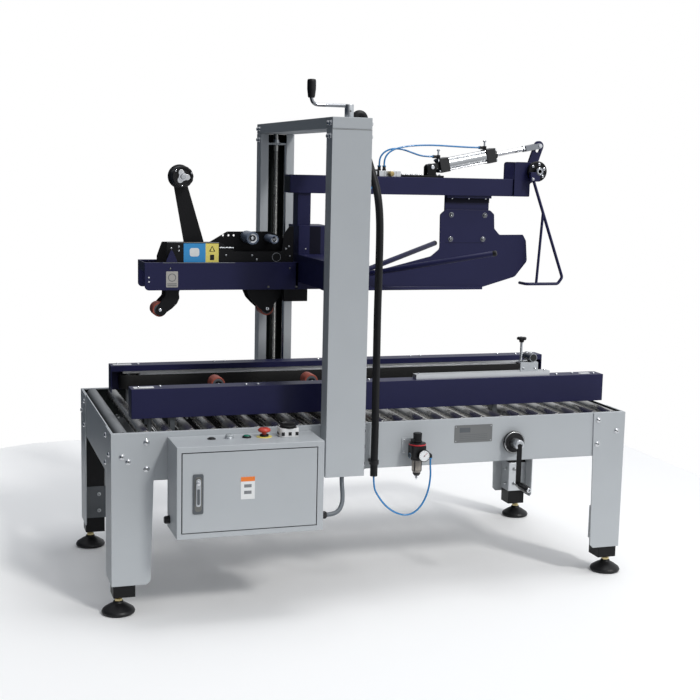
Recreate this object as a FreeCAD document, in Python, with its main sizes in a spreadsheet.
import FreeCAD, Part
import math
import os
import re
import Sketcher

# Side-belt carton sealer: a roller table with two driven side belts, a lower tape
# head sunk in the table, and a head that two lead screws lift between two columns.
# Cartons travel towards -X, the operator stands at -Y, +Z is up, millimetres.
# Every sub-part is drawn about the conveyor's centreline and then moved by line_y,
# which brings the middle of the machine's own box over the origin.

SIZES = """
table_len 1750      table from end plate to end plate
table_half 400      centreline to the outer face of a side rail
table_z 575         top of the side rails above the floor
rail_tall 150       height of the side rails and end plates
sheet 4             folded steel sheet of the table
lip 12              turned-in top edge of a side rail
foot_flange 30      turned-in bottom edge of a side rail
bar_wide 40         cross bar, seen from above
bar_tall 40         cross bar height
bar_exit -620       cross bar under the exit end of the lower tape head
bar_feed 10         cross bar under the infeed end of the lower tape head
roller_r 19         table roller radius
roller_half 384     half the length of a table roller
roller_axle_r 6     table roller axle radius
roller_pitch 70     spacing of the table rollers
roller_z 558        height of the roller axles
roller_inner 76     inner end of the short rollers beside the lower tape head
leg_wide 122        outer leg, width along the table
leg_deep 125        outer leg, width across the table
leg_foot_z 97       bottom edge of an outer leg
leg_chamfer 12      cut-off lower inner corner of an outer leg
leg_taper 10        how much narrower an outer leg is at its foot
gusset_x 712        inner edge of the exit-end leg's gusset
gusset_low_z 458    where the gusset leaves the leg
gusset_high_z 558   where the gusset reaches its full width
infeed_leg_x 757    inner edge of an infeed-end leg
tube 68             inner leg, square tube
tube_wall 3         inner leg wall
tube_x 839          inner leg centre from mid-table
tube_y 364          inner leg centre from the centreline
tube_low_z 58       bottom of an inner leg
tube_high_z 415     top of an inner leg
clamp_gap 2         play between an inner leg and its clamp
clamp_sheet 6       leg clamp plate
clamp_low_z 112     leg clamp, bottom edge
clamp_high_z 228    leg clamp, top edge
stud_r 8            levelling stud radius
stud_shift 14       levelling stud, outwards from the inner leg's centre
cup_r 52            levelling foot radius
cup_tall 30         levelling foot height
column_x -156       column centre along the table
column_wide 128     column width
column_y 468        centreline to a column's outer face
column_deep 60      column depth
column_sheet 3      column sheet
column_lip 30       turned-in edges of a column's open side
column_low_z 419    bottom of the columns
column_high_z 1502  top of the columns
beam_high_z 1537    top of the cross beam
screw_y 430         centreline to the lead screws and guide rods
screw_r 10          lead screw radius
screw_low_z 426     bottom of the lead screws
guide_r 9           guide rod radius
guide_offset 38     lead screw to guide rod
stay_z 1462         underside of the stay plate near a column's top
fit 0.05            radial play of a running fit
play 0.5            clearance of loose pieces
sprocket_r 23       chain sprocket radius
chain_z 1512        underside of the lift chain
chain_wide 8        chain width
chain_thick 5       chain thickness
hub_r 14            crank hub radius
hub_tall 39         crank hub height
arm_r 5.5           crank arm rod radius
crank_reach 121     lead screw to the lift handle
crank_arm_z 1572    lift crank arm height
crank_bend 22       bend radius of the lift crank arm
grip_r 14           lift handle radius
grip_low_z 1592     bottom of the lift handle
grip_tall 56        lift handle length
arch_r 16            centre-line radius of the cable's arch over the beam
cap_r 17            cable flange radius
box_x0 -707         control box, exit-side face
box_x1 -252         control box, infeed-side face
box_front 555.5     centreline to the control box front
box_z0 278          control box bottom
box_z1 559          control box top
box_sheet 2.5       control box sheet
door_x0 -690        door, lock edge
door_x1 -275        door, hinge edge
door_z0 297         door, bottom edge
door_z1 539         door, top edge
door_gap 3          gap around the door
lock_x -643         lock plate centre
lock_z 415          lock plate centre height
lock_wide 32        lock plate width
lock_tall 122       lock plate height
panel_y 460         centreline to the row of push buttons
plug_x -583         blanking plug
lamp_x -528         pilot lamp
start_x -473        start button
stop_x -418         stop button
switch_x -342       main switch
start_r 10          start button radius
stop_r 7.5          stop button stem radius
knob_r 6            main switch spindle radius
gland_z 318         hose gland height
gland_y 530         centreline to the hose gland
gland_r 13          gland radius
gland_nut 8         gland nut thickness
hose_r 7            control box hose radius
reg_x 98            air regulator axis along the table
reg_y 440           centreline to the air regulator axis
reg_z0 455          underside of the regulator body
reg_z1 503          top of the regulator body
port_z 470          regulator port height
port_r 6.5          regulator port bore radius
port_len 12         regulator port depth
conduit_r 12        cable conduit radius
conduit_x -47       cable conduit beside the rail
conduit_y 434       centreline to the conduit beside the rail
clip_r 14.5         bore of the conduit clip
clip_z 446          underside of the conduit clip
elbow_x -79         cable beside the beam, along the table
elbow_y 350         centreline to the cable's arch
air_r 3             air tube radius
cover_x0 -797       belt cover, exit end
cover_x1 862        belt cover, infeed end
cover_in 205        centreline to a belt cover's inner edge
cover_out 269       centreline to a belt cover's outer face
cover_z0 591        belt cover, bottom edge
cover_z1 685        belt cover, top
cover_sheet 3       belt cover sheet
belt_y 233          centreline to the belt pulleys' axes
belt_z0 602         belt, bottom edge
belt_z1 652         belt, top edge
belt_thick 4        belt thickness
pulley_r 28         belt pulley radius
belt_play 0.4       gap between pulley and belt
drive_x -735        drive pulley along the table
idler_x 805         idler pulley along the table
width_x 455         width screw along the table
slide_x -665        width guide rod along the table
width_z 490         height of the width screw and guide rod
width_r 10          width screw and guide rod radius
nut_half 17         half the thickness of a sliding block
disc_r 38           width crank disc radius
width_arm 134       width crank arm length
head_half 72        head frame, centreline to its outer face
head_x0 -724        head frame, exit end
head_z0 975         head frame, bottom
head_z1 1066        head frame, top
head_sheet 4        head frame sheet
block_x0 -205       carriage block, exit side
block_x1 -95        carriage block, infeed side
block_top 1189      carriage block, top
cross_z0 1000       crosshead, bottom
cross_z1 1092       crosshead, top
cross_sheet 5       crosshead plates
column_gap 8        crosshead to a column's inner face
post_x0 -200        post under the top arm
post_x1 -154        post under the top arm
arm_x0 -230         top arm, exit end
arm_x1 655          top arm, infeed end
arm_z0 1297         top arm, bottom
arm_z1 1358         top arm, top
arm_half 40         top arm, half its width
arm_sheet 4         top arm plates
tape_x0 -665        tape unit, exit end
tape_x1 -218        tape unit, infeed end
tape_half 48        tape unit, centreline to the outer face of a side plate
tape_sheet 4        tape unit side plates
swing_half 38       tape arms, centreline to their outer faces
swing_sheet 4       tape arm plates
tape_roller_r 24    tape roller radius
tape_roller_half 31 half the length of a tape roller
pin_r 6             pivot pin radius
feed_roller_x -304  upper tape roller at the infeed side
exit_roller_x -668  upper tape roller at the exit side
upper_roller_z 907  height of the upper tape rollers
feed_pivot_x -262   upper infeed arm pivot
exit_pivot_x -600   upper exit arm pivot
upper_pivot_z 1012  height of the upper arm pivots
reel_x -594.5       tape reel hub
reel_z 1344         tape reel hub height
reel_r 35           tape reel hub radius
lower_z0 470        lower tape head, bottom edge
lower_z1 566        lower tape head, top edge
lower_x0 -600       lower tape head, exit end
lower_x1 -30        lower tape head, infeed end
low_feed_x -141     lower tape roller at the infeed side
low_exit_x -469     lower tape roller at the exit side
low_roller_z 651    height of the lower tape rollers
low_feed_pivot -99  lower infeed arm pivot
low_exit_pivot -401 lower exit arm pivot
low_pivot_z 545     height of the lower arm pivots
plow_y0 -14         plow plate, near face
plow_y1 -8          plow plate, far face
shaft_x 674         kicker shaft
shaft_z 1387        kicker shaft height
shaft_r 10          kicker shaft radius
lever_r 96          kicker shaft to clevis pin
lever_lean 19       lever angle from upright, degrees
lever_wide 36       lever width
slot_len 17         length of the lever's slot
slot_r 7.3          half the width of the lever's slot
fork_pin_r 5        radius of the fork's pin, which runs in the slot
wire_r 5            kicker rod radius
wire_y -75          kicker rods, across the table
tail_x 290          cylinder rear pivot
tail_z 1393         cylinder rear pivot height
cyl_lean 11.54      cylinder angle above level, degrees
barrel_r 22.5       cylinder barrel radius
rear_port 35        rear flow control, along the cylinder from its pivot
front_port 214      front flow control, along the cylinder from its pivot
port_lift 31        flow controls above the cylinder axis
branch_len 22       length of a flow control's tube branch
tube_gap 0.4        air tube's end to the branch that it enters
rod_r 8             piston rod radius
pin_at 423.9        cylinder's rear pivot to the fork's pin, rod drawn in
piston_at 190       cylinder's rear pivot to the piston, rod drawn in
"""

doc = FreeCAD.newDocument("CartonSealer")
sheet = doc.addObject("Spreadsheet::Sheet", "Sizes")
values = {}
for row, line in enumerate(SIZES.strip().splitlines(), start=1):
    alias, number, meaning = line.split(None, 2)
    sheet.set(f"A{row}", number)
    sheet.setAlias(f"A{row}", alias)
    sheet.set(f"B{row}", meaning)
    values[alias] = float(number)
# The machine reaches from the door lock at the front to the far column at the back.
row += 1
sheet.set(f"A{row}", "=(box_front + 10 - column_y) / 2")
sheet.setAlias(f"A{row}", "line_y")
values["line_y"] = (values["box_front"] + 10 - values["column_y"]) / 2
doc.recompute()

WORD = re.compile(r"[A-Za-z_]\w*")
NEAR, FAR = -1, 1
count = 0


def bind(thing, prop, text):
    """Set a property from the sheet: every alias in the text becomes Sizes.alias."""
    named = WORD.sub(lambda m: "Sizes." + m[0] if m[0] in values else m[0], str(text))
    thing.setExpression(prop, named)


def fresh(kind, name):
    global count
    count += 1
    return doc.addObject(kind, f"{name}_{count}")


def at(thing, x, y, z):
    for axis, text in zip("xyz", (x, y, z)):
        bind(thing, "Placement.Base." + axis, text)
    return thing


def block(x, y, z):
    """A box between pairs of limits."""
    solid = fresh("Part::Box", "block")
    for prop, (low, high) in zip(("Length", "Width", "Height"), (x, y, z)):
        bind(solid, prop, f"({high}) - ({low})")
    return at(solid, x[0], y[0], z[0])


AXES = {
    "x": FreeCAD.Rotation(FreeCAD.Vector(0, 1, 0), 90),
    "y": FreeCAD.Rotation(FreeCAD.Vector(1, 0, 0), -90),
    "z": FreeCAD.Rotation(),
}


def aim(solid, axis):
    """Turn a solid drawn along +Z: an axis letter, or degrees above level towards +X."""
    turn = AXES.get(axis) if isinstance(axis, str) else None
    if turn is None:
        turn = FreeCAD.Rotation(FreeCAD.Vector(0, 1, 0), 90 - axis)
    solid.Placement = FreeCAD.Placement(FreeCAD.Vector(), turn)


def rod(axis, radius, start, length):
    solid = fresh("Part::Cylinder", "rod")
    bind(solid, "Radius", radius)
    bind(solid, "Height", length)
    aim(solid, axis)
    return at(solid, *start)


def taper(axis, radius1, radius2, start, length):
    solid = fresh("Part::Cone", "taper")
    bind(solid, "Radius1", radius1)
    bind(solid, "Radius2", radius2)
    bind(solid, "Height", length)
    aim(solid, axis)
    return at(solid, *start)


def fuse(*pieces):
    if len(pieces) == 1:
        return pieces[0]
    solid = fresh("Part::MultiFuse", "fuse")
    solid.Shapes = list(pieces)
    return solid


def cut(base, *tools):
    solid = fresh("Part::Cut", "cut")
    solid.Base = base
    solid.Tool = fuse(*tools)
    return solid


def side(which, low, high):
    """Limits across the table on one side of the centreline."""
    if which == NEAR:
        return f"-({high})", f"-({low})"
    return low, high


def box_of_plates(x, y, z, wall, front=True):
    """Plates that meet face to face: roof, floor, ends, far side and near side."""
    inner_z = (f"{z[0]} + {wall}", f"{z[1]} - {wall}")
    inner_y = (f"{y[0]} + {wall}", f"{y[1]} - {wall}")
    plates = [
        block(x, y, (inner_z[1], z[1])),
        block(x, y, (z[0], inner_z[0])),
        block((x[0], f"{x[0]} + {wall}"), inner_y, inner_z),
        block((f"{x[1]} - {wall}", x[1]), inner_y, inner_z),
        block(x, (inner_y[1], y[1]), inner_z),
    ]
    if front:
        plates.append(block(x, (y[0], inner_y[0]), inner_z))
    return plates


PLANES = {"xy": "XY_Plane", "xz": "XZ_Plane", "yz": "YZ_Plane"}


def plate(plane, outline, low, high, round_r=0):
    """A sketched outline padded from low to high along the plane's own axis."""
    body = fresh("PartDesign::Body", "plate")
    sketch = body.newObject("Sketcher::SketchObject", body.Name + "_outline")
    role = PLANES[plane]
    origin = next(f for f in body.Origin.OriginFeatures if f.Role == role)
    sketch.AttachmentSupport = [(origin, "")]
    sketch.MapMode = "FlatFace"
    corners = len(outline)
    ring = []
    for turn in range(corners):
        angle = 2 * math.pi * turn / corners
        ring.append(FreeCAD.Vector(100 * math.cos(angle), 100 * math.sin(angle), 0))
    for index in range(corners):
        sketch.addGeometry(Part.LineSegment(ring[index], ring[(index + 1) % corners]))
    for index in range(corners):
        following = (index + 1) % corners
        sketch.addConstraint(Sketcher.Constraint("Coincident", index, 2, following, 1))
    for index, point in enumerate(outline):
        for kind, start, text in zip(("DistanceX", "DistanceY"), ring[index], point):
            place = Sketcher.Constraint(kind, -1, 1, index, 1, start)
            number = sketch.addConstraint(place)
            bind(sketch, f"Constraints[{number}]", text)
    pad = body.newObject("PartDesign::Pad", body.Name + "_pad")
    pad.Profile = sketch
    bind(pad, "Length", f"({high}) - ({low})")
    # The XZ plane faces -Y, so its pad starts at the high limit.
    offset = f"-({high})" if plane == "xz" else low
    bind(sketch, "AttachmentOffset.Base.z", offset)
    if round_r:
        doc.recompute()
        normal = {"xy": 2, "xz": 1, "yz": 0}[plane]
        names = []
        for number, edge in enumerate(pad.Shape.Edges, start=1):
            ends = edge.Vertexes
            run = ends[-1].Point - ends[0].Point
            if abs(run[normal]) > run.Length - 1e-6 and run.Length > 0:
                names.append(f"Edge{number}")
        fillet = body.newObject("PartDesign::Fillet", body.Name + "_round")
        fillet.Base = (pad, names)
        bind(fillet, "Radius", round_r)
        body.Tip = fillet
    return body


def sub_part(label, *pieces):
    """Gather the solids of one sub-part and place it on the conveyor line."""
    node = doc.addObject("Part::Compound", label)
    node.Links = list(pieces)
    node.Label = label
    bind(node, "Placement.Base.y", "line_y")
    return node


def tube(label, points, radius):
    """A tube along straight runs joined by arcs; prints its smallest bend."""
    corners = [FreeCAD.Vector(*p) for p in points]
    edges = []
    bends = []
    here = corners[0]
    for before, corner, after in zip(corners, corners[1:], corners[2:]):
        back, ahead = before - corner, after - corner
        shorter = min(back.Length, ahead.Length)
        turn = math.pi - back.getAngle(ahead)
        reach = 0.45 * shorter
        bends.append(reach / math.tan(turn / 2))
        back.normalize()
        ahead.normalize()
        into = corner + back * reach
        out = corner + ahead * reach
        middle = back + ahead
        middle.normalize()
        swing = bends[-1] / math.cos(turn / 2) - bends[-1]
        edges.append(Part.LineSegment(here, into).toShape())
        edges.append(Part.Arc(into, corner + middle * swing, out).toShape())
        here = out
    edges.append(Part.LineSegment(here, corners[-1]).toShape())
    path = Part.Wire(edges)
    section = Part.Wire(
        Part.Circle(corners[0], corners[1] - corners[0], radius).toShape()
    )
    shape = path.makePipeShell([section], True, False)
    wanted = math.pi * radius**2 * path.Length
    report = f"{label}: length {path.Length:.0f}, smallest bend {min(bends):.0f}"
    print(f"{report}, volume {shape.Volume / wanted:.4f} of section times length")
    piece = doc.addObject("Part::Feature", label)
    piece.Shape = shape
    piece.Label = label
    piece.Placement.Base.y = values["line_y"]
    return piece


def bolt(axis, x, y, z, out=1):
    """A washer and a domed head standing on a face; out is +1 or -1 along the axis."""
    washer_r, washer, head_r, crown_r, head = 10, 2, 8, 5, 6
    if out > 0:
        start, second = (x, y, z), {"x": (f"({x}) + 2", y, z),
                                    "y": (x, f"({y}) + 2", z),
                                    "z": (x, y, f"({z}) + 2")}[axis]
        return fuse(
            rod(axis, washer_r, start, washer),
            taper(axis, head_r, crown_r, second, head),
        )
    low = {"x": (f"({x}) - 2", y, z), "y": (x, f"({y}) - 2", z),
           "z": (x, y, f"({z}) - 2")}[axis]
    tip = {"x": (f"({x}) - 8", y, z), "y": (x, f"({y}) - 8", z),
           "z": (x, y, f"({z}) - 8")}[axis]
    return fuse(
        rod(axis, washer_r, low, washer), taper(axis, crown_r, head_r, tip, head)
    )


# ---------------------------------------------------------------- table frame

def side_rails():
    half = "(table_len/2 - sheet)"
    rails = []
    for which in (NEAR, FAR):
        s = f"{which} * "
        outline = [
            (s + "table_half", "table_z - rail_tall"),
            (s + "table_half", "table_z"),
            (s + "(table_half - lip)", "table_z"),
            (s + "(table_half - lip)", "table_z - sheet"),
            (s + "(table_half - sheet)", "table_z - sheet"),
            (s + "(table_half - sheet)", "table_z - rail_tall + sheet"),
            (s + "(table_half - foot_flange)", "table_z - rail_tall + sheet"),
            (s + "(table_half - foot_flange)", "table_z - rail_tall"),
        ]
        rails.append(plate("yz", outline, f"-{half}", half))
    # The width screw passes through the near rail.
    bore = rod("y", "width_r + play", ("width_x", "-table_half - 10", "width_z"), 30)
    rails[0] = cut(rails[0], bore)
    return rails


def table_frame():
    """Side rails, end plates, cross bars and the belt carriages' guide rod."""
    pieces = side_rails()
    for which in (-1, 1):
        x0, x1 = side(which, "table_len/2 - sheet", "table_len/2")
        z = ("table_z - rail_tall", "table_z")
        pieces.append(block((x0, x1), ("-table_half", "table_half"), z))
    inner = "(table_half - sheet)"
    for place in ("bar_exit", "bar_feed"):
        x = (f"{place} - bar_wide/2", f"{place} + bar_wide/2")
        z = ("table_z - rail_tall + sheet", "table_z - rail_tall + sheet + bar_tall")
        pieces.append(block(x, (f"-{inner}", inner), z))
    # The plain rod that guides the belt carriages at the exit end.
    start = ("slide_x", f"-{inner}", "width_z")
    pieces.append(rod("y", "width_r", start, f"2 * {inner}"))
    sub_part("table_frame", *pieces)


def outer_legs():
    outside = "table_half + sheet"
    pieces = []
    for end in (-1, 1):
        for which in (NEAR, FAR):
            y = side(which, "table_half", outside)
            e = f"{end} * "
            edge = "(table_len/2 + sheet)"
            if end < 0:
                inner = f"({edge} - leg_wide - 8)"
                shoulder = [
                    (e + "gusset_x", "table_z"), (e + "gusset_x", "gusset_high_z"),
                    (e + inner, "gusset_low_z"),
                ]
            else:
                inner = "infeed_leg_x"
                shoulder = [(e + inner, "table_z")]
            outline = [
                (e + edge, "leg_foot_z"), (e + edge, "table_z"), *shoulder,
                (e + f"({inner} + leg_taper)", "leg_foot_z + leg_chamfer"),
                (e + f"({inner} + leg_taper + leg_chamfer)", "leg_foot_z"),
            ]
            face = plate("xz", outline, *y)
            x = side(end, "table_len/2", "table_len/2 + sheet")
            w = f"{which} * "
            wing_edge = "(table_half - leg_deep)"
            wing_outline = [
                (w + f"({outside})", "leg_foot_z"), (w + f"({outside})", "table_z"),
                (w + wing_edge, "table_z"), (w + wing_edge, "leg_foot_z + leg_chamfer"),
                (w + f"({wing_edge} + leg_chamfer)", "leg_foot_z"),
            ]
            pieces.append(fuse(face, plate("yz", wing_outline, *x)))
            pieces.append(leg_clamp(end, which))
    sub_part("outer_legs", *pieces)


def leg_clamp(end, which):
    """An angle plate that closes the leg's corner around the inner leg."""
    reach = "tube/2 + clamp_gap"
    inner_y = side(which, f"tube_y - {reach} - clamp_sheet", f"tube_y - ({reach})")
    inner_x = side(end, f"tube_x - {reach} - clamp_sheet", f"tube_x - ({reach})")
    z = ("clamp_low_z", "clamp_high_z")
    long_x = side(end, f"tube_x - {reach} - clamp_sheet", "table_len/2")
    long_y = side(which, f"tube_y - {reach} - clamp_sheet", "table_half")
    return fuse(block(long_x, inner_y, z), block(inner_x, long_y, z))


def inner_legs():
    tubes = []
    for end in (-1, 1):
        for which in (NEAR, FAR):
            x, y = f"{end} * tube_x", f"{which} * tube_y"
            z = ("tube_low_z", "tube_high_z")
            outer = block((f"{x} - tube/2", f"{x} + tube/2"),
                          (f"{y} - tube/2", f"{y} + tube/2"), z)
            hollow = "(tube/2 - tube_wall)"
            inner = block((f"{x} - {hollow}", f"{x} + {hollow}"),
                          (f"{y} - {hollow}", f"{y} + {hollow}"),
                          ("tube_low_z + 6", "tube_high_z + 1"))
            tubes.append(cut(outer, inner))
    sub_part("inner_legs", *tubes)


def leveling_feet():
    feet = []
    for end in (-1, 1):
        for which in (NEAR, FAR):
            x, y = f"{end} * (tube_x + stud_shift)", f"{which} * tube_y"
            feet.append(fuse(
                rod("z", "cup_r", (x, y, 0), 12),
                taper("z", "cup_r", 16, (x, y, 12), "cup_tall - 12"),
                rod("z", 14, (x, y, "cup_tall"), 10),
                rod("z", "stud_r", (x, y, 20), "tube_low_z - 20"),
            ))
    sub_part("leveling_feet", *feet)


def table_rollers():
    """Full-width rollers, and pairs of short ones beside the lower tape head."""
    pieces = []
    inner = "(table_half - sheet)"
    steps = int(values["table_len"] / 2 // values["roller_pitch"])
    for step in range(-steps, steps + 1):
        x = f"{step} * roller_pitch"
        place = step * values["roller_pitch"]
        if values["lower_x0"] - 20 < place < values["lower_x1"] + 20:
            spans = [side(w, "roller_inner", "roller_half") for w in (NEAR, FAR)]
            axles = [side(w, "head_half", inner) for w in (NEAR, FAR)]
        else:
            spans, axles = [("-roller_half", "roller_half")], [(f"-{inner}", inner)]
        for (low, high), (left, right) in zip(spans, axles):
            shell = rod("y", "roller_r", (x, low, "roller_z"), f"{high} - ({low})")
            axle = rod("y", "roller_axle_r", (x, left, "roller_z"), f"{right} - ({left})")
            pieces.append(fuse(shell, axle))
    sub_part("table_rollers", *pieces)


# ------------------------------------------------------------ columns and lift

def column(label, which):
    x0, x1 = "column_x - column_wide/2", "column_x + column_wide/2"
    back = f"{which} * column_y"
    front = f"{which} * (column_y - column_deep)"
    skin = f"{which} * column_sheet"
    outline = [
        (x0, back), (x1, back), (x1, front), (f"{x1} - column_lip", front),
        (f"{x1} - column_lip", f"{front} + {skin}"),
        (f"{x1} - column_sheet", f"{front} + {skin}"),
        (f"{x1} - column_sheet", f"{back} - {skin}"),
        (f"{x0} + column_sheet", f"{back} - {skin}"),
        (f"{x0} + column_sheet", f"{front} + {skin}"),
        (f"{x0} + column_lip", f"{front} + {skin}"),
        (f"{x0} + column_lip", front), (x0, front),
    ]
    shell = plate("xy", outline, "column_low_z", "column_high_z")
    inside_x = (f"{x0} + column_sheet", f"{x1} - column_sheet")
    inside_y = side(which, "column_y - column_deep + column_sheet",
                    "column_y - column_sheet")
    floor = block(inside_x, inside_y, ("column_low_z", "screw_low_z - 1"))
    stay = block(inside_x, inside_y, ("stay_z", "stay_z + 8"))
    hole = rod("z", "screw_r + play", ("column_x", f"{which} * screw_y", "stay_z - 1"), 10)
    # Angle plate from the column to the side rail.
    foot_y = side(which, "table_half", "column_y - column_deep")
    foot = block((x0, f"{x1} + 24"), foot_y, ("table_z - rail_tall", "table_z"))
    sub_part(label, fuse(shell, floor, cut(stay, hole), foot))


def guide_rods():
    rods = []
    for which in (NEAR, FAR):
        for hand in (-1, 1):
            start = (f"column_x + {hand} * guide_offset", f"{which} * screw_y",
                     "screw_low_z - 1")
            rods.append(rod("z", "guide_r", start, "stay_z - screw_low_z + 1"))
    sub_part("guide_rods", *rods)


def lead_screw(which, top):
    x, y = "column_x", f"{which} * screw_y"
    shaft = rod("z", "screw_r", (x, y, "screw_low_z"), f"{top} - screw_low_z")
    sprocket = rod("z", "sprocket_r", (x, y, "chain_z"), "chain_wide")
    collar = rod("z", "hub_r", (x, y, "stay_z + 8 + play"), 12)
    return fuse(shaft, sprocket, collar)


def top_beam():
    x0, x1 = "column_x - column_wide/2", "column_x + column_wide/2"
    outer = block((x0, x1), ("-column_y", "column_y"), ("column_high_z", "beam_high_z"))
    inner = block((f"{x0} + column_sheet", f"{x1} - column_sheet"),
                  ("-(column_y - column_sheet)", "column_y - column_sheet"),
                  ("column_high_z - 1", "beam_high_z - column_sheet"))
    near_hole = rod("z", "screw_r + play",
                    ("column_x", "-screw_y", "column_high_z"), 60)
    sub_part("top_beam", cut(outer, inner, near_hole), cable_arch())


def cable_arch():
    """The cable's half-round bend from the beam's top down beside the beam."""
    bend = fresh("Part::Torus", "arch")
    bind(bend, "Radius1", "arch_r")
    bind(bend, "Radius2", "conduit_r")
    bend.Angle3 = 180
    bend.Placement.Rotation = FreeCAD.Rotation(FreeCAD.Vector(1, 0, 0), 90)
    at(bend, "elbow_x - arch_r", "-elbow_y", "beam_high_z")
    foot = rod("z", "cap_r", ("elbow_x - 2*arch_r", "-elbow_y", "beam_high_z"), 3)
    drop = rod("z", "conduit_r", ("elbow_x", "-elbow_y", "column_high_z"),
               "beam_high_z - column_high_z")
    return fuse(bend, foot, drop)


def drive_chain():
    """The roller chain that ties the two lead screws, one closed loop."""
    inner, outer = "sprocket_r + play", "sprocket_r + play + chain_thick"
    def loop(radius, low, high):
        span = block((f"column_x - ({radius})", f"column_x + ({radius})"),
                     ("-screw_y", "screw_y"), (low, high))
        ends = [rod("z", radius, ("column_x", f"{which} * screw_y", low),
                    f"({high}) - ({low})") for which in (NEAR, FAR)]
        return fuse(span, *ends)
    z = ("chain_z", "chain_z + chain_wide")
    sub_part("drive_chain", cut(loop(outer, *z), loop(inner, f"{z[0]} - 1", f"{z[1]} + 1")))


def crank_rod(x, y, z, reach, bend, rise, radius):
    """A rod from the hub towards -X that bends up to carry the handle."""
    level = rod("x", radius, (f"{x} - ({reach} - {bend})", y, z), f"{reach} - {bend}")
    elbow = fresh("Part::Torus", "elbow")
    bind(elbow, "Radius1", bend)
    bind(elbow, "Radius2", radius)
    elbow.Angle3 = 90
    # Quarter ring in the XZ plane, from straight down to straight out at -X.
    elbow.Placement.Rotation = FreeCAD.Rotation(
        FreeCAD.Vector(-1, 0, 0), FreeCAD.Vector(0, 0, -1), FreeCAD.Vector(0, 0, 0), "XZY"
    )
    at(elbow, f"{x} - ({reach} - {bend})", y, f"{z} + {bend}")
    upright = rod("z", radius, (f"{x} - {reach}", y, f"{z} + {bend}"), rise)
    return level, elbow, upright


def lift_crank():
    """The hand crank and the near lead screw that it is fixed to."""
    x, y = "column_x", "-screw_y"
    hub = rod("z", "hub_r", (x, y, "beam_high_z + play"), "hub_tall")
    bore = rod("z", "screw_r", (x, y, "beam_high_z"), "hub_tall - 8")
    level, elbow, upright = crank_rod(
        x, y, "crank_arm_z", "crank_reach", "crank_bend",
        "grip_low_z + grip_tall - 8 - crank_arm_z - crank_bend", "arm_r")
    crank = cut(fuse(hub, level, elbow, upright), bore)
    sub_part("lift_crank", crank, lead_screw(NEAR, "beam_high_z + hub_tall - 8"))


def far_screw():
    sub_part("far_screw", lead_screw(FAR, "chain_z + chain_wide + 6"))


def lift_grip():
    x, y = "column_x - crank_reach", "-screw_y"
    low = fuse(
        taper("z", "grip_r - 3", "grip_r", (x, y, "grip_low_z"), "grip_tall * 0.55"),
        taper("z", "grip_r", "grip_r - 4", (x, y, "grip_low_z + grip_tall * 0.55"),
              "grip_tall * 0.45"),
    )
    bore = rod("z", "arm_r + fit", (x, y, "grip_low_z - 1"), "grip_tall - 6")
    sub_part("lift_grip", cut(low, bore))


# ------------------------------------------------------- control box and air set

# Openings in the top of the control box: along the table, radius.
PANEL_HOLES = (("start_x", "start_r + play"), ("stop_x", "stop_r + play"),
               ("switch_x", "knob_r + fit"))


def control_box():
    """Six plates, the front one with the door's opening, and two hose glands."""
    x = ("box_x0", "box_x1")
    y = ("-box_front", "-table_half")
    z = ("box_z0", "box_z1")
    roof, *walls = box_of_plates(x, y, z, "box_sheet", front=False)
    mouth_x = ("door_x0 - door_gap", "door_x1 + door_gap")
    mouth_z = ("door_z0 - door_gap", "door_z1 + door_gap")
    front_y = (y[0], "-box_front + box_sheet")
    front = [
        block(x, front_y, ("box_z0 + box_sheet", mouth_z[0])),
        block(x, front_y, (mouth_z[1], "box_z1 - box_sheet")),
        block((x[0], mouth_x[0]), front_y, mouth_z),
        block((mouth_x[1], x[1]), front_y, mouth_z),
    ]
    holes = [rod("z", radius, (place, "-panel_y", "box_z1 - 10"), 20)
             for place, radius in PANEL_HOLES]
    glands = []
    for place, out, across, height in (
        ("box_x0", -1, "-442", "310"), ("box_x1", 1, "-gland_y", "gland_z"),
    ):
        nut_x = place if out > 0 else f"{place} - gland_nut"
        nose_x = f"{place} + gland_nut" if out > 0 else f"{place} - gland_nut - 10"
        wide, slim = "gland_r", "gland_r - 4"
        ends = (wide, slim) if out > 0 else (slim, wide)
        glands.append(fuse(
            rod("x", "gland_r", (nut_x, across, height), "gland_nut"),
            taper("x", *ends, (nose_x, across, height), 10),
        ))
    sub_part("control_box", cut(roof, *holes), *walls, *front, *glands)


def box_door():
    y = ("-box_front - 1", "-box_front + box_sheet")
    panel = block(("door_x0", "door_x1"), y, ("door_z0", "door_z1"))
    # Stiffening channel behind the panel keeps the sheet flat.
    back = block(("door_x0 + 14", "door_x1 - 30"),
                 ("-box_front + box_sheet", "-box_front + box_sheet + 8"),
                 ("door_z0 + 14", "door_z1 - 14"))
    hollow = block(("door_x0 + 18", "door_x1 - 34"),
                   ("-box_front + box_sheet", "-box_front + box_sheet + 9"),
                   ("door_z0 + 18", "door_z1 - 18"))
    lock = block(("lock_x - lock_wide/2", "lock_x + lock_wide/2"),
                 ("-box_front - 4", "-box_front - 1"),
                 ("lock_z - lock_tall/2", "lock_z + lock_tall/2"))
    sub_part("box_door", fuse(panel, cut(back, hollow)), lock)


def door_lock():
    y = ("-box_front - 10", "-box_front - 4 - play")
    lever = block(("lock_x - 8", "lock_x + 8"), y, ("lock_z - 40", "lock_z + 48"))
    sub_part("door_lock", lever)


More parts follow.
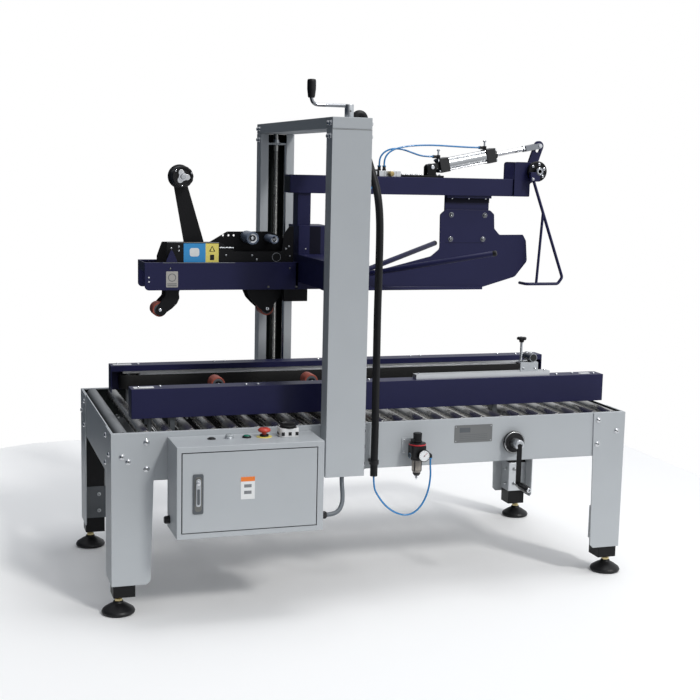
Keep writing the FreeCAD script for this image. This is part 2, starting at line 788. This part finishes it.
def panel_fittings():
    """Blanking plug, pilot lamp, button collars, yellow stop disc, switch base."""
    top = "box_z1"
    y = "-panel_y"
    plug = fuse(rod("z", 13, ("plug_x", y, top), 3), rod("z", 9, ("plug_x", y, top), 5))
    lamp = fuse(
        rod("z", 14, ("lamp_x", y, top), 5),
        taper("z", 12, 9, ("lamp_x", y, f"{top} + 5"), 9),
    )
    start_hole = rod("z", "start_r + play", ("start_x", y, f"{top} - 1"), 20)
    start = cut(rod("z", 14, ("start_x", y, top), 5), start_hole)
    stop_hole = rod("z", "stop_r + play", ("stop_x", y, f"{top} - 1"), 20)
    stop = cut(fuse(rod("z", 24, ("stop_x", y, top), 2),
                    rod("z", 14, ("stop_x", y, top), 8)), stop_hole)
    knob_hole = rod("z", "knob_r + fit", ("switch_x", y, f"{top} - 1"), 60)
    base = cut(rod("z", 36, ("switch_x", y, top), 29), knob_hole)
    sub_part("panel_fittings", plug, lamp, start, stop, base)


def controls():
    y = "-panel_y"
    cap = rod("z", "start_r", ("start_x", y, "box_z1 - 5"), 14)
    sub_part("start_button", cap)
    mushroom = fuse(
        rod("z", "stop_r", ("stop_x", y, "box_z1 - 6"), 22),
        taper("z", 15, 20, ("stop_x", y, "box_z1 + 15"), 8),
        taper("z", 20, 16, ("stop_x", y, "box_z1 + 23"), 6),
    )
    sub_part("stop_button", mushroom)
    knob = fuse(
        rod("z", "knob_r", ("switch_x", y, "box_z1 - 5"), 36),
        rod("z", 25, ("switch_x", y, "box_z1 + 29 + play"), 5),
        block(("switch_x - 25", "switch_x + 25"), ("-panel_y - 7", "-panel_y + 7"),
              ("box_z1 + 30 + play", "box_z1 + 43")),
    )
    sub_part("main_switch_knob", knob)


def filter_regulator():
    x, y = "reg_x", "-reg_y"
    body = block((f"{x} - 25", f"{x} + 25"), (f"{y} - 22", f"{y} + 22"),
                 ("reg_z0", "reg_z1"))
    port = rod("x", "port_r", (f"{x} - 25 - 1", y, "port_z"), "port_len + 1")
    bonnet = rod("z", 28, (x, y, "reg_z1"), 9)
    bowl = fuse(
        rod("z", 17, (x, y, "reg_z0 - 42"), 42),
        taper("z", 8, 17, (x, y, "reg_z0 - 52"), 10),
        rod("z", 5, (x, y, "reg_z0 - 66"), 16),
    )
    gauge = rod("y", 20, (f"{x} + 12", f"{y} - 36", 474), 14)
    bracket = fuse(
        block((f"{x} - 20", f"{x} + 20"), (f"{y} + 22", "-table_half"), (484, 500)),
        block((f"{x} - 40", f"{x} + 20"), ("-table_half - 3", "-table_half"), (466, 520)),
    )
    elbow = fuse(
        rod("x", 6, (f"{x} + 25", y, "port_z"), 28),
        rod("z", 6, (f"{x} + 47", y, "port_z - 14"), 20),
    )
    spindle = rod("z", 6, (x, y, "reg_z1 + 9"), 20)
    ring = fuse(
        block(("conduit_x - 8", "conduit_x + 8"), ("-conduit_y + 10", "-table_half"),
              ("clip_z", "clip_z + 14")),
        rod("z", "clip_r + 3", ("conduit_x", "-conduit_y", "clip_z"), 14),
    )
    ring_bore = rod("z", "clip_r", ("conduit_x", "-conduit_y", "clip_z - 5"), 30)
    sub_part("filter_regulator", cut(body, port), bonnet, bowl, gauge, bracket,
             elbow, spindle, cut(ring, ring_bore))


def regulator_knob():
    x, y = "reg_x", "-reg_y"
    skirt = rod("z", 15, (x, y, "reg_z1 + 9 + play"), 32)
    bore = rod("z", "6 + fit", (x, y, "reg_z1 + 8"), "22 + play")
    sub_part("regulator_knob", cut(skirt, bore))


# -------------------------------------------------------------------- side belts

def belt_cover(label, which):
    """A folded cover, open below and on its inner side."""
    y = side(which, "cover_in", "cover_out")
    outer = block(("cover_x0", "cover_x1"), y, ("cover_z0", "cover_z1"))
    inner_y = side(which, "cover_in - 1", "cover_out - cover_sheet")
    inner = block(("cover_x0 + cover_sheet", "cover_x1 - cover_sheet"), inner_y,
                  ("cover_z0 - 1", "cover_z1 - cover_sheet"))
    lip = block(("cover_x0 + cover_sheet", "cover_x1 - cover_sheet"),
                side(which, "cover_in", "cover_in + cover_sheet"),
                ("cover_z1 - 20", "cover_z1"))
    sub_part(label, fuse(cut(outer, inner), lip))


def belt_bed(label, which):
    """Belt support, its two posts with sliding blocks, and the gear motor."""
    y = side(which, "belt_y - pulley_r + 3", "belt_y + pulley_r - 8")
    x = ("drive_x + pulley_r + 12", "idler_x - pulley_r - 12")
    bed = block(x, y, ("belt_z0 + 4", "belt_z1 - 4"))
    roof_y = side(which, "belt_y - pulley_r + 6", "belt_y + pulley_r")
    roof = block(("drive_x - 20", "idler_x + 20"), roof_y,
                 ("belt_z1 + 4", "cover_z1 - cover_sheet"))
    rib = block(("drive_x + pulley_r + 12", "idler_x - pulley_r - 12"),
                side(which, "belt_y - 6", "belt_y + 6"), ("belt_z1 - 5", "belt_z1 + 5"))
    axles = []
    for place in ("drive_x", "idler_x"):
        low = "belt_z0 - 24" if place == "drive_x" else "belt_z0 - 5"
        axles.append(rod("z", 7, (place, f"{which} * belt_y", low),
                         f"belt_z1 + 5 - ({low})"))
    pieces = [bed, roof, rib, *axles]
    for place in ("slide_x", "width_x"):
        post = block((f"{place} - 8", f"{place} + 8"),
                     side(which, "belt_y - 20", "belt_y + 20"),
                     ("width_z", "belt_z0 + 5"))
        nut = block((f"{place} - nut_half", f"{place} + nut_half"),
                    side(which, "belt_y - 30", "belt_y + 30"),
                    ("width_z - 17", "width_z + 17"))
        pieces += [post, nut]
    start = f"{which} * belt_y - 40"
    bores = [rod("y", "width_r + fit", (p, start, "width_z"), 80)
             for p in ("slide_x", "width_x")]
    motor = fuse(
        block(("drive_x - 45", "drive_x + 45"), side(which, "belt_y - 32", "belt_y + 32"),
              (440, 500)),
        rod("z", 26, ("drive_x", f"{which} * belt_y", 500), 30),
        rod("z", 7, ("drive_x", f"{which} * belt_y", 530), "belt_z0 - 24 - 530"),
    )
    sub_part(label, fuse(cut(fuse(*pieces), *bores), motor))


def belt(label, which):
    y = f"{which} * belt_y"
    z = ("belt_z0", "belt_z1")
    def loop(radius, low, high):
        span = block(("drive_x", "idler_x"), (f"{y} - ({radius})", f"{y} + ({radius})"),
                     (low, high))
        ends = [rod("z", radius, (p, y, low), f"({high}) - ({low})")
                for p in ("drive_x", "idler_x")]
        return fuse(span, *ends)
    outer = "pulley_r + belt_play + belt_thick"
    inner = "pulley_r + belt_play"
    sub_part(label, cut(loop(outer, *z), loop(inner, f"{z[0]} - 1", f"{z[1]} + 1")))


def belt_pulley(label, which, place):
    y = f"{which} * belt_y"
    drum = rod("z", "pulley_r", (place, y, "belt_z0 + 2"), "belt_z1 - belt_z0 - 4")
    bore = rod("z", "7 + fit", (place, y, "belt_z0"), 60)
    sub_part(label, cut(drum, bore))


def sensor_bracket():
    """Aluminium profile on the near cover with the carton sensor's arm."""
    profile = block((160, 658), ("-256", "-222"), ("cover_z1", "cover_z1 + 16"))
    plate_up = block((545, 612), ("-256", "-250"), ("cover_z1 + 16", "cover_z1 + 48"))
    shelf = block((545, 612), ("-250", "-222"), ("cover_z1 + 42", "cover_z1 + 48"))
    stud = rod("z", 5, (555, "-236", "cover_z1 + 48"), 76)
    knob = fuse(rod("z", 17, (555, "-236", "cover_z1 + 124"), 10),
                rod("z", 9, (555, "-236", "cover_z1 + 116"), 8))
    barrel = rod("y", 15, (590, "-262", "cover_z1 + 64"), 57)
    saddle = block((584, 596), ("-242", "-230"), ("cover_z1 + 48", "cover_z1 + 54"))
    sub_part("sensor_bracket", profile, fuse(plate_up, shelf, saddle, barrel),
             fuse(stud, knob))


def width_crank():
    """Left- and right-hand screw across the table with its hand crank."""
    reach = "table_half - sheet"
    screw = rod("y", "width_r", ("width_x", "-table_half - 56", "width_z"),
                f"table_half + 56 + {reach} - 2")
    disc = rod("y", "disc_r", ("width_x", "-table_half - 20", "width_z"), 12)
    hub = rod("y", 16, ("width_x", "-table_half - 60", "width_z"), 44)
    arm = block(("width_x - 9", "width_x + 9"), ("-table_half - 60", "-table_half - 54"),
                ("width_z - width_arm - 9", "width_z"))
    pin = rod("y", 4, ("width_x", "-table_half - 136", "width_z - width_arm"), 78)
    sub_part("width_crank", fuse(screw, disc, hub, arm, pin))


def width_grip():
    y = "-table_half - 140"
    place = ("width_x", y, "width_z - width_arm")
    grip = rod("y", 13, place, 79)
    bore = rod("y", "4 + fit", ("width_x", "-table_half - 136 - play",
                                "width_z - width_arm"), 84)
    sub_part("width_grip", cut(grip, bore))


# ---------------------------------------------------------------- moving head

def lift_carriage():
    """Hollow crosshead with a sliding shoe on each lead screw, and the arm's post."""
    end_y = "column_y - column_deep - column_gap"
    z = ("cross_z0", "cross_z1")
    beam = box_of_plates(("column_x - 50", "column_x + 50"), (f"-({end_y})", end_y), z,
                         "cross_sheet")
    shoes = []
    for which in (NEAR, FAR):
        neck = block(("column_x - 28", "column_x + 28"),
                     side(which, end_y, "screw_y - 10"), z)
        shoe = block(("column_x - 52", "column_x + 52"),
                     side(which, "screw_y - 15", "screw_y + 15"), z)
        bores = []
        for shift, radius in ((-1, "guide_r"), (0, "screw_r"), (1, "guide_r")):
            start = (f"column_x + {shift} * guide_offset", f"{which} * screw_y",
                     "cross_z0 - 5")
            bores.append(rod("z", f"{radius} + fit", start, "cross_z1 - cross_z0 + 10"))
        shoes.append(cut(fuse(neck, shoe), *bores))
    centre = block(("block_x0", "block_x1"), ("-65", "65"), ("cross_z1", "block_top"))
    post = block(("post_x0", "post_x1"), ("-30", "30"), ("block_top", "arm_z0"))
    sub_part("lift_carriage", *beam, *shoes, fuse(centre, post))


def head_frame():
    """Channel that holds the tape unit, open below and above."""
    walls = []
    for which in (NEAR, FAR):
        y = side(which, "head_half - head_sheet", "head_half")
        x1 = "column_x - 50"
        walls.append(block(("head_x0", x1), y, ("head_z0", "head_z1")))
        walls.append(block(("head_x0", x1), side(which, "head_half - 14", "head_half"),
                           ("head_z1 - head_sheet", "head_z1")))
    nose = block(("head_x0", "head_x0 + head_sheet"), ("-head_half", "head_half"),
                 ("head_z1 - 30", "head_z1"))
    tail = block(("column_x - 60", "column_x - 50"), ("-head_half", "head_half"),
                 ("head_z0", "head_z1"))
    foot = block(("column_x - 99", "column_x - 16"), ("-70", "-44"),
                 ("head_z0 - 41", "head_z0"))
    floor = block(("column_x - 60", "column_x + 36"), ("-head_half", "head_half"),
                  ("head_z0", "cross_z0"))
    sub_part("head_frame", fuse(*walls, nose, tail, foot, floor))


def top_arm():
    """Hollow arm, the bracket plates for the kicker's shaft, the cylinder's clevis."""
    beam = box_of_plates(("arm_x0", "arm_x1 - 62"), ("-arm_half", "arm_half"),
                         ("arm_z0", "arm_z1"), "arm_sheet")
    brackets = []
    for which in (NEAR, FAR):
        outline = [
            ("arm_x1 - 62", "arm_z0"), ("arm_x1", "arm_z0"), ("arm_x1", "shaft_z - 44"),
            ("shaft_x + 22", "shaft_z - 22"), ("shaft_x + 22", "shaft_z + 22"),
            ("arm_x1", "shaft_z + 32"), ("arm_x1 - 62", "shaft_z + 32"),
        ]
        brackets.append(plate("xz", outline, *side(which, "arm_half", "arm_half + 6")))
    bore = rod("y", "shaft_r + fit", ("shaft_x", "-80", "shaft_z"), 160)
    back = block(("arm_x1 - 62", "arm_x1 - 60"), ("-arm_half - 6", "arm_half + 6"),
                 ("arm_z0", "arm_z1"))
    clevis = [
        block(("tail_x - 18", "tail_x + 14"), side(which, 14, 20),
              ("arm_z1 + 7", "tail_z + 12"))
        for which in (NEAR, FAR)
    ]
    base = block((181, 330), ("-30", "30"), ("arm_z1", "arm_z1 + 7"))
    pin = rod("y", "pin_r", ("tail_x", "-24", "tail_z"), 48)
    sub_part("top_arm", *beam, cut(fuse(back, *brackets), bore),
             fuse(base, *clevis, pin))


def flap_plow():
    """Plate that folds the leading flaps, its mount, and the two side-flap rods."""
    outline = [
        (349, 1248), (519, 1246), (535, 1232), (538, 1181), (559, 1159), (652, 1160),
        (665, 1138), (672, 1064), (626, 1008), (494, 970), (-70, 973), (-70, 1025),
        (69, 1025), (297, 1082), (329, 1108), (327, 1230),
    ]
    blade = plate("xz", outline, "plow_y0", "plow_y1")
    mount = block((346, 515), ("plow_y1", "plow_y1 + 8"), (1132, "arm_z0"))
    flange = block((346, 515), ("-30", "plow_y1 + 8"), ("arm_z0 - 8", "arm_z0"))
    runner = block((-100, 494), ("-26", "16"), (964, 973))
    root = block(("column_x + 50", 60), ("-34", "34"), (1006, 1066))
    neck = block((-70, -20), ("-34", "34"), (973, 1066))
    rods = []
    for which in (NEAR, FAR):
        start = FreeCAD.Vector(40, which * 26, 1020)
        end = FreeCAD.Vector(430, which * 274, 1112)
        run = end - start
        solid = fresh("Part::Cylinder", "flap_rod")
        solid.Radius = 9.5
        solid.Height = run.Length
        turn = FreeCAD.Rotation(FreeCAD.Vector(0, 0, 1), run)
        solid.Placement = FreeCAD.Placement(start, turn)
        rods.append(cut(solid, root))
    bolts = [bolt("y", x, "plow_y0", z, -1)
             for x, z in ((369, 1229), (498, 1228), (369, 1143), (494, 1143))]
    sub_part("flap_plow", fuse(blade, mount, flange, runner, root, neck),
             *rods, *bolts)


def air_valve():
    top = "arm_z1"
    body = block((92, 172), ("-22", "22"), (top, f"{top} + 20"))
    coil = block((52, 92), ("-16", "16"), (top, f"{top} + 24"))
    ports = []
    for x, y in ((104, "14"), (112, "-14")):
        ports.append(rod("z", 7, (x, y, f"{top} + 20"), 18))
    silencer = rod("y", 9, (132, "-44", f"{top} + 10"), 22)
    sub_part("air_valve", fuse(body, coil, *ports, silencer))


def reach_along(distance, lift):
    """Offsets in x and z from the rear pivot, along the cylinder and square to it."""
    lean = math.radians(values["cyl_lean"])
    x = distance * math.cos(lean) - lift * math.sin(lean)
    z = distance * math.sin(lean) + lift * math.cos(lean)
    return x, z


def along(distance, lift=0.0):
    """A point on the cylinder's axis, or lifted square to it, as x and z texts."""
    x, z = reach_along(distance, lift)
    return f"tail_x + {x:.3f}", f"tail_z + {z:.3f}"


def tilted(low, high, half, bottom, top):
    """A box in line with the cylinder, from low to high along it."""
    solid = fresh("Part::Box", "tilted")
    solid.Length, solid.Width, solid.Height = high - low, 2 * half, top - bottom
    turn = FreeCAD.Rotation(FreeCAD.Vector(0, 1, 0), -values["cyl_lean"])
    solid.Placement = FreeCAD.Placement(FreeCAD.Vector(), turn)
    x, z = along(low, bottom)
    return at(solid, x, f"-{half}", z)


def branch_mouth(distance):
    """Where an air tube enters the flow control at this distance."""
    x, z = reach_along(distance, values["port_lift"])
    mouth = values["branch_len"] + values["tube_gap"]
    return values["tail_x"] + x - mouth, 0, values["tail_z"] + z


def flow_control(distance):
    """Elbow and needle valve on top of a cylinder cap."""
    lean = values["cyl_lean"]
    x, z = along(distance, 24)
    stem = rod(90 + lean, 6, (x, 0, z), "port_lift - 24")
    x, z = along(distance, values["port_lift"])
    head = rod("z", 7, (x, 0, f"{z} - 6"), 12)
    screw = rod("z", 3.5, (x, 0, z), 22)
    knob = rod("z", 6, (x, 0, f"{z} + 20"), 6)
    branch = rod("x", 5.5, (f"{x} - branch_len", 0, z), "branch_len")
    return [stem, head, screw, knob, branch]


def cylinder_barrel():
    lean = values["cyl_lean"]
    rear = tilted(28, 64, 25, -25, 25)
    front = tilted(208, 244, 25, -25, 25)
    x, z = along(63)
    barrel = rod(lean, "barrel_r", (x, 0, z), 146)
    ties = []
    for y in (-19, 19):
        for lift in (-19, 19):
            x, z = along(63, lift)
            ties.append(rod(lean, 2.5, (x, y, z), 146))
    x, z = along(244)
    nose = rod(lean, 15, (x, 0, z), 12)
    eye = fuse(rod("y", 13, ("tail_x", "-13.5", "tail_z"), 27), tilted(0, 30, 13.5, -11, 11))
    bore = rod("y", "pin_r + fit", ("tail_x", "-20", "tail_z"), 40)
    x, z = along(130)
    rod_bore = rod(lean, "rod_r + fit", (x, 0, z), 140)
    x, z = along(70)
    chamber = rod(lean, "barrel_r - 2.5", (x, 0, z), 132)
    # The chamber runs inside the barrel tube between the caps.
    whole = fuse(rear, front, barrel, *ties, nose, eye,
                 *flow_control(values["rear_port"]), *flow_control(values["front_port"]))
    sub_part("cylinder_barrel", cut(whole, bore, rod_bore, chamber))


def piston_rod():
    """Piston, rod and the fork that takes the lever's pin."""
    lean = values["cyl_lean"]
    pin_at, piston_at = values["pin_at"], values["piston_at"]
    x, z = along(piston_at)
    piston = rod(lean, "barrel_r - 2.5 - fit", (x, 0, z), 10)
    shaft = rod(lean, "rod_r", (x, 0, z), "pin_at - piston_at - 50")
    nut = tilted(pin_at - 65, pin_at - 57, 12, -12, 12)
    fork = tilted(pin_at - 57, pin_at + 10, 14, -10, 10)
    gap = tilted(pin_at - 34, pin_at + 20, 6.5, -30, 30)
    x, z = along(pin_at)
    pin = rod("y", "fork_pin_r", (x, "-17", z), 34)
    sub_part("piston_rod", fuse(cut(fork, gap), piston, shaft, nut, pin))


def kicker():
    """Shaft, lever with a slot for the clevis pin, boss and the bent rods."""
    lean = math.radians(values["lever_lean"])
    def radial(distance, across=0.0):
        x = distance * math.sin(lean) + across * math.cos(lean)
        z = distance * math.cos(lean) - across * math.sin(lean)
        return f"shaft_x + {x:.3f}", f"shaft_z + {z:.3f}"
    reach, half = values["lever_r"], values["lever_wide"] / 2
    corners = [radial(0, -half), radial(reach, -half), radial(reach, half), radial(0, half)]
    x, z = radial(reach)
    lever = fuse(plate("xz", corners, -5, 5), rod("y", half, (x, -5, z), 10),
                 rod("y", half, ("shaft_x", -5, "shaft_z"), 10))
    inner = reach - values["slot_len"]
    radius = values["slot_r"]
    ends = [radial(inner, -radius), radial(reach, -radius), radial(reach, radius),
            radial(inner, radius)]
    slot = [plate("xz", ends, -6, 6)]
    for distance in (inner, reach):
        x, z = radial(distance)
        slot.append(rod("y", "slot_r", (x, -6, z), 12))
    shaft = rod("y", "shaft_r", ("shaft_x", -84, "shaft_z"), 140)
    boss = rod("y", 36, ("shaft_x", -66, "shaft_z"), 14)
    holder = rod("y", 14, ("shaft_x", -84, "shaft_z"), 20)

    def bar(start, end):
        a, b = FreeCAD.Vector(*start), FreeCAD.Vector(*end)
        solid = fresh("Part::Cylinder", "kick_rod")
        bind(solid, "Radius", "wire_r")
        solid.Height = (b - a).Length
        solid.Placement = FreeCAD.Placement(
            a, FreeCAD.Rotation(FreeCAD.Vector(0, 0, 1), b - a))
        return solid

    def knee(point):
        solid = fresh("Part::Sphere", "knee")
        bind(solid, "Radius", "wire_r")
        return at(solid, *point)

    y = values["wire_y"]
    top, corner, heel = (649, y, 1368), (785, y, 1010), (768, y, 987)
    toe, tip = (642, y, 987), (642, y + 55, 987)
    wires = [bar(top, corner), bar(corner, heel), bar(heel, toe), bar(toe, tip),
             bar((697, y, 1242), (682, y, 987)), knee(corner), knee(heel), knee(toe)]
    clamp = block((640, 676), (y - 7, "-66"), (1352, 1384))
    bolts = [bolt("y", f"shaft_x + {dx}", -66, f"shaft_z + {dz}", -1)
             for dx, dz in ((24, 8), (4, 26), (22, -17))]
    sub_part("kicker", fuse(cut(lever, *slot), shaft, boss, holder, clamp, *wires), *bolts)


# ------------------------------------------------------------------- tape heads

def tape_arm(pivot, pivot_z, roller, roller_z, outline):
    """Two bowed plates on a pivot tube that carry one tape roller."""
    plates = [plate("xz", outline, *side(w, "swing_half - swing_sheet", "swing_half"),
                    round_r=5) for w in (NEAR, FAR)]
    length = "2 * swing_half - 1"
    pivot_tube = rod("y", 11, (pivot, "-(swing_half - 0.5)", pivot_z), length)
    bore = rod("y", "pin_r + fit", (pivot, -60, pivot_z), 120)
    axle = rod("y", "pin_r", (roller, "-(swing_half + 3)", roller_z), "2 * swing_half + 6")
    return cut(fuse(*plates, pivot_tube, axle), bore)


def tape_roller(roller, roller_z):
    drum = rod("y", "tape_roller_r", (roller, "-tape_roller_half", roller_z),
               "2 * tape_roller_half")
    bore = rod("y", "pin_r + fit", (roller, -60, roller_z), 120)
    return cut(drum, bore)


def upper_tape_frame():
    """Side plates, tie bars, idler rollers, reel arm and pivot pins."""
    near = [("tape_x0", 985), ("tape_x1", 985), ("tape_x1", 1186), (-232, 1186),
            (-252, 1160), (-258, 1100), (-420, 1100), (-470, 1130), ("tape_x0", 1130)]
    far = [("tape_x0", 985), ("tape_x1", 985), ("tape_x1", 1136), (-277, 1163),
           (-426, 1162), (-485, 1127), ("tape_x0", 1127)]
    y_near = side(NEAR, "tape_half - tape_sheet", "tape_half")
    y_far = side(FAR, "tape_half - tape_sheet", "tape_half")
    inner = "(tape_half - tape_sheet)"
    plates = [plate("xz", near, *y_near), plate("xz", far, *y_far)]
    pins = [rod("y", "pin_r", (x, f"-{inner}", "upper_pivot_z"), f"2 * {inner}")
            for x in ("feed_pivot_x", "exit_pivot_x")]
    ties = [rod("y", 8, (x, f"-{inner}", z), f"2 * {inner}")
            for x, z in ((-230, 1085), (-230, 1000), (-520, 1105), (-450, 1088))]
    hooks = []
    for which in (NEAR, FAR):
        for x in (-640, -236):
            hooks.append(block((x - 12, x + 12),
                               side(which, "tape_half", "head_half - head_sheet"),
                               (1036, 1056)))
    reel = [
        (-574, 1090), (-506, 1090), (-506, 1129), (-560, 1310), (-570.5, 1344),
        (-618.5, 1344), (-607, 1310), (-574, 1129),
    ]
    reel_arm = plate("xz", reel, *side(FAR, "tape_half", "tape_half + 6"))
    reel_y = ("reel_x", "-58", "reel_z")
    axle = rod("y", 8, reel_y, "tape_half + 58")
    boss = rod("y", 26, ("reel_x", "tape_half - 4", "reel_z"), 10)
    idlers = [rod("y", radius, (x, "-52", z), "52 + tape_half - tape_sheet")
              for x, z, radius in ((-360, 1145, 21), (-285, 1141, 14))]
    reel_post = fuse(reel_arm, axle, boss)
    sub_part("upper_tape_frame", *plates, *pins, *ties, *hooks, reel_post, *idlers)


def upper_reel_hub():
    """The tape core slides over this hub."""
    drum = rod("y", "reel_r", ("reel_x", "-46", "reel_z"), 60)
    flange = rod("y", "reel_r + 5", ("reel_x", "14", "reel_z"), 4)
    bore = rod("y", "8 + fit", ("reel_x", "-60", "reel_z"), 100)
    sub_part("upper_reel_hub", cut(fuse(drum, flange), bore))


def upper_tape_arms():
    feed = [
        (-250, 1024), (-246, 1010), (-248, 985), (-258, 950), (-278, 925), (-287, 900),
        (-303, 890), (-318, 898), (-345, 922), (-363, 941), (-374, 966), (-376, 1004),
        (-366, 1018), (-300, 1028),
    ]
    leave = [
        (-586, 1024), (-583, 1012), (-592, 988), (-606, 966), (-603, 946), (-611, 928),
        (-628, 911), (-646, 899), (-653, 890), (-666, 886), (-681, 896), (-682, 912),
        (-668, 931), (-650, 950), (-649, 972), (-648, 1006), (-616, 1027),
    ]
    arms = (
        ("upper_feed_arm", "feed_pivot_x", "feed_roller_x", feed),
        ("upper_exit_arm", "exit_pivot_x", "exit_roller_x", leave),
    )
    for label, pivot, roller, outline in arms:
        arm = tape_arm(pivot, "upper_pivot_z", roller, "upper_roller_z", outline)
        sub_part(label, arm)
    for label, roller in (("upper_feed_roller", "feed_roller_x"),
                          ("upper_exit_roller", "exit_roller_x")):
        sub_part(label, tape_roller(roller, "upper_roller_z"))


def lower_tape_frame():
    """The tape unit sunk in the table: cradle plates, tape plates, ties, reel hub."""
    pieces = []
    x = ("lower_x0", "lower_x1")
    z = ("lower_z0", "lower_z1")
    for which in (NEAR, FAR):
        pieces.append(block(x, side(which, "head_half - head_sheet", "head_half"), z))
        pieces.append(block(("lower_x0 + 20", "lower_x1 - 20"),
                            side(which, "tape_half - tape_sheet", "tape_half"), z))
    inner = "(tape_half - tape_sheet)"
    outer = "(head_half - head_sheet)"
    for place in ("lower_x0 + 24", "lower_x1 - 40"):
        pieces.append(block((place, f"{place} + 16"), (f"-{outer}", outer),
                            ("lower_z0", "lower_z0 + 16")))
    for pivot in ("low_feed_pivot", "low_exit_pivot"):
        pieces.append(rod("y", "pin_r", (pivot, f"-{inner}", "low_pivot_z"),
                          f"2 * {inner}"))
    pieces.append(rod("y", 8, ("-300", f"-{inner}", 505), f"2 * {inner}"))
    pieces.append(rod("y", "30", ("-300", "-30", 505), "60"))
    sub_part("lower_tape_frame", fuse(*pieces))


def lower_tape_arms():
    feed = [
        (-112, 532), (-86, 532), (-86, 561), (-104, 610), (-127, 641), (-131, 663),
        (-151, 663), (-156, 642), (-178, 610), (-185, 562), (-168, 545),
    ]
    leave = [
        (-414, 532), (-388, 532), (-388, 561), (-420, 612), (-455, 641), (-459, 663),
        (-479, 663), (-483, 642), (-474, 600), (-455, 556),
    ]
    arms = (
        ("lower_feed_arm", "low_feed_pivot", "low_feed_x", feed),
        ("lower_exit_arm", "low_exit_pivot", "low_exit_x", leave),
    )
    for label, pivot, roller, outline in arms:
        arm = tape_arm(pivot, "low_pivot_z", roller, "low_roller_z", outline)
        sub_part(label, arm)
    for label, roller in (("lower_feed_roller", "low_feed_x"),
                          ("lower_exit_roller", "low_exit_x")):
        sub_part(label, tape_roller(roller, "low_roller_z"))


# ------------------------------------------------------------------- fasteners

def frame_bolts():
    heads = []
    leg_y = "table_half + sheet"
    left = ((-771.7, 546), (-846, 504), (-827, 488), (-771.8, 463))
    right = ((775.5, 550), (847.6, 510), (774.8, 467))
    for which in (NEAR, FAR):
        for x, z in left + right:
            heads.append(bolt("y", x, f"{which} * ({leg_y})", z, which))
        for y, z in ((289, 550), (362, 504), (289, 464)):
            for end in (-1, 1):
                heads.append(bolt("x", f"{end} * (table_len/2 + sheet)",
                                  which * y, z, end))
        for z in (1519, 1480):
            heads.append(bolt("x", "column_x - column_wide/2", which * 452, z, -1))
            heads.append(bolt("x", "column_x + column_wide/2", which * 452, z, 1))
        for z in (1519, 1480):
            heads.append(bolt("x", "column_x - column_wide/2", which * 424, z, -1))
        for z in (445, 500, 552):
            heads.append(bolt("y", -79, f"{which} * (column_y - column_deep)", z, which))
    sub_part("frame_bolts", *heads)


def cords():
    conduit_end = (values["conduit_x"], -values["conduit_y"], 408)
    elbow_mouth = (values["elbow_x"], -values["elbow_y"], values["column_high_z"])
    tube("box_hose", [(-234, -530, 318), (-214, -530, 318), (-191, -522, 325),
                      (-174, -504, 343), (-166, -481, 367), (-163, -463, 388),
                      (-162, -456, 405), (-162, -456, 419)],
         values["hose_r"])
    tube("main_conduit", [elbow_mouth, (-79, -350, 1488), (-78, -353, 1466),
                          (-76, -362, 1440), (-72, -376, 1412), (-67, -392, 1382),
                          (-60, -414, 1340),
                          (-55, -432, 1295), (-51, -441, 1230), (-50, -442, 1150),
                          (-50, -441, 1050),
                          (-50, -438, 940), (-48, -435, 810), (-47, -433, 680),
                          (-46, -434, 560), (-47, -434, 470), conduit_end],
         values["conduit_r"])
    tube("regulator_tube", [conduit_end, (-46, -434, 370), (-34, -436, 345),
                            (-9, -438, 310), (24, -440, 284), (63, -443, 271),
                            (98, -444, 281), (127, -443, 315), (143, -441, 358),
                            (148, -440, 405), (145, -440, 430), (145, -440, 456)],
         values["air_r"])
    mouth_x, _, mouth_z = mouth = branch_mouth(values["front_port"])
    tube("valve_tube_front", [(112, -14, 1396), (112, -14, 1413), (119, -14, 1430),
                              (133, -13, 1444), (156, -12, 1455), (192, -11, 1463),
                              (240, -9, 1468), (300, -6, 1470), (364, -3, 1468),
                              (mouth_x - 45, 0, mouth_z), mouth],
         values["air_r"])
    mouth_x, _, mouth_z = mouth = branch_mouth(values["rear_port"])
    tube("valve_tube_rear", [(104, 14, 1396), (104, 14, 1413), (110, 14, 1430),
                             (124, 13, 1444), (144, 12, 1453), (167, 10, 1455),
                             (194, 7, 1451), (221, 4, 1442), (249, 2, 1433),
                             (mouth_x - 21, 0, mouth_z), mouth],
         values["air_r"])


def build():
    for make in (table_frame, outer_legs, inner_legs, leveling_feet,
                 table_rollers, guide_rods, top_beam, drive_chain, lift_crank,
                 lift_grip, far_screw,
                 control_box, box_door, door_lock, panel_fittings, controls,
                 filter_regulator, regulator_knob, sensor_bracket, width_crank,
                 width_grip, lift_carriage, head_frame, top_arm, flap_plow, air_valve,
                 cylinder_barrel, piston_rod, kicker, upper_tape_frame, upper_reel_hub,
                 upper_tape_arms, lower_tape_frame, lower_tape_arms, frame_bolts, cords):
        make()
    column("near_column", NEAR)
    column("far_column", FAR)
    for name, which in (("near", NEAR), ("far", FAR)):
        belt_cover(f"{name}_cover", which)
        belt_bed(f"{name}_belt_bed", which)
        belt(f"{name}_belt", which)
        belt_pulley(f"{name}_drive_pulley", which, "drive_x")
        belt_pulley(f"{name}_idler_pulley", which, "idler_x")


build()
doc.recompute()
failed = [thing.Name for thing in doc.Objects
          if "Invalid" in thing.State or "Error" in thing.State]
if failed:
    raise SystemExit(f"failed features: {failed}")
tops = [thing for thing in doc.Objects
        if thing.TypeId in ("Part::Compound", "Part::Feature") and not thing.InList]
for node in tops:
    if node.Shape.isNull() or not node.Shape.isValid() or not node.Shape.Solids:
        raise SystemExit(f"bad shape: {node.Label}")
os.makedirs("parts", exist_ok=True)
for node in tops:
    node.Shape.exportStep(f"parts/{node.Label}.step")
print(len(tops), "sub-parts")
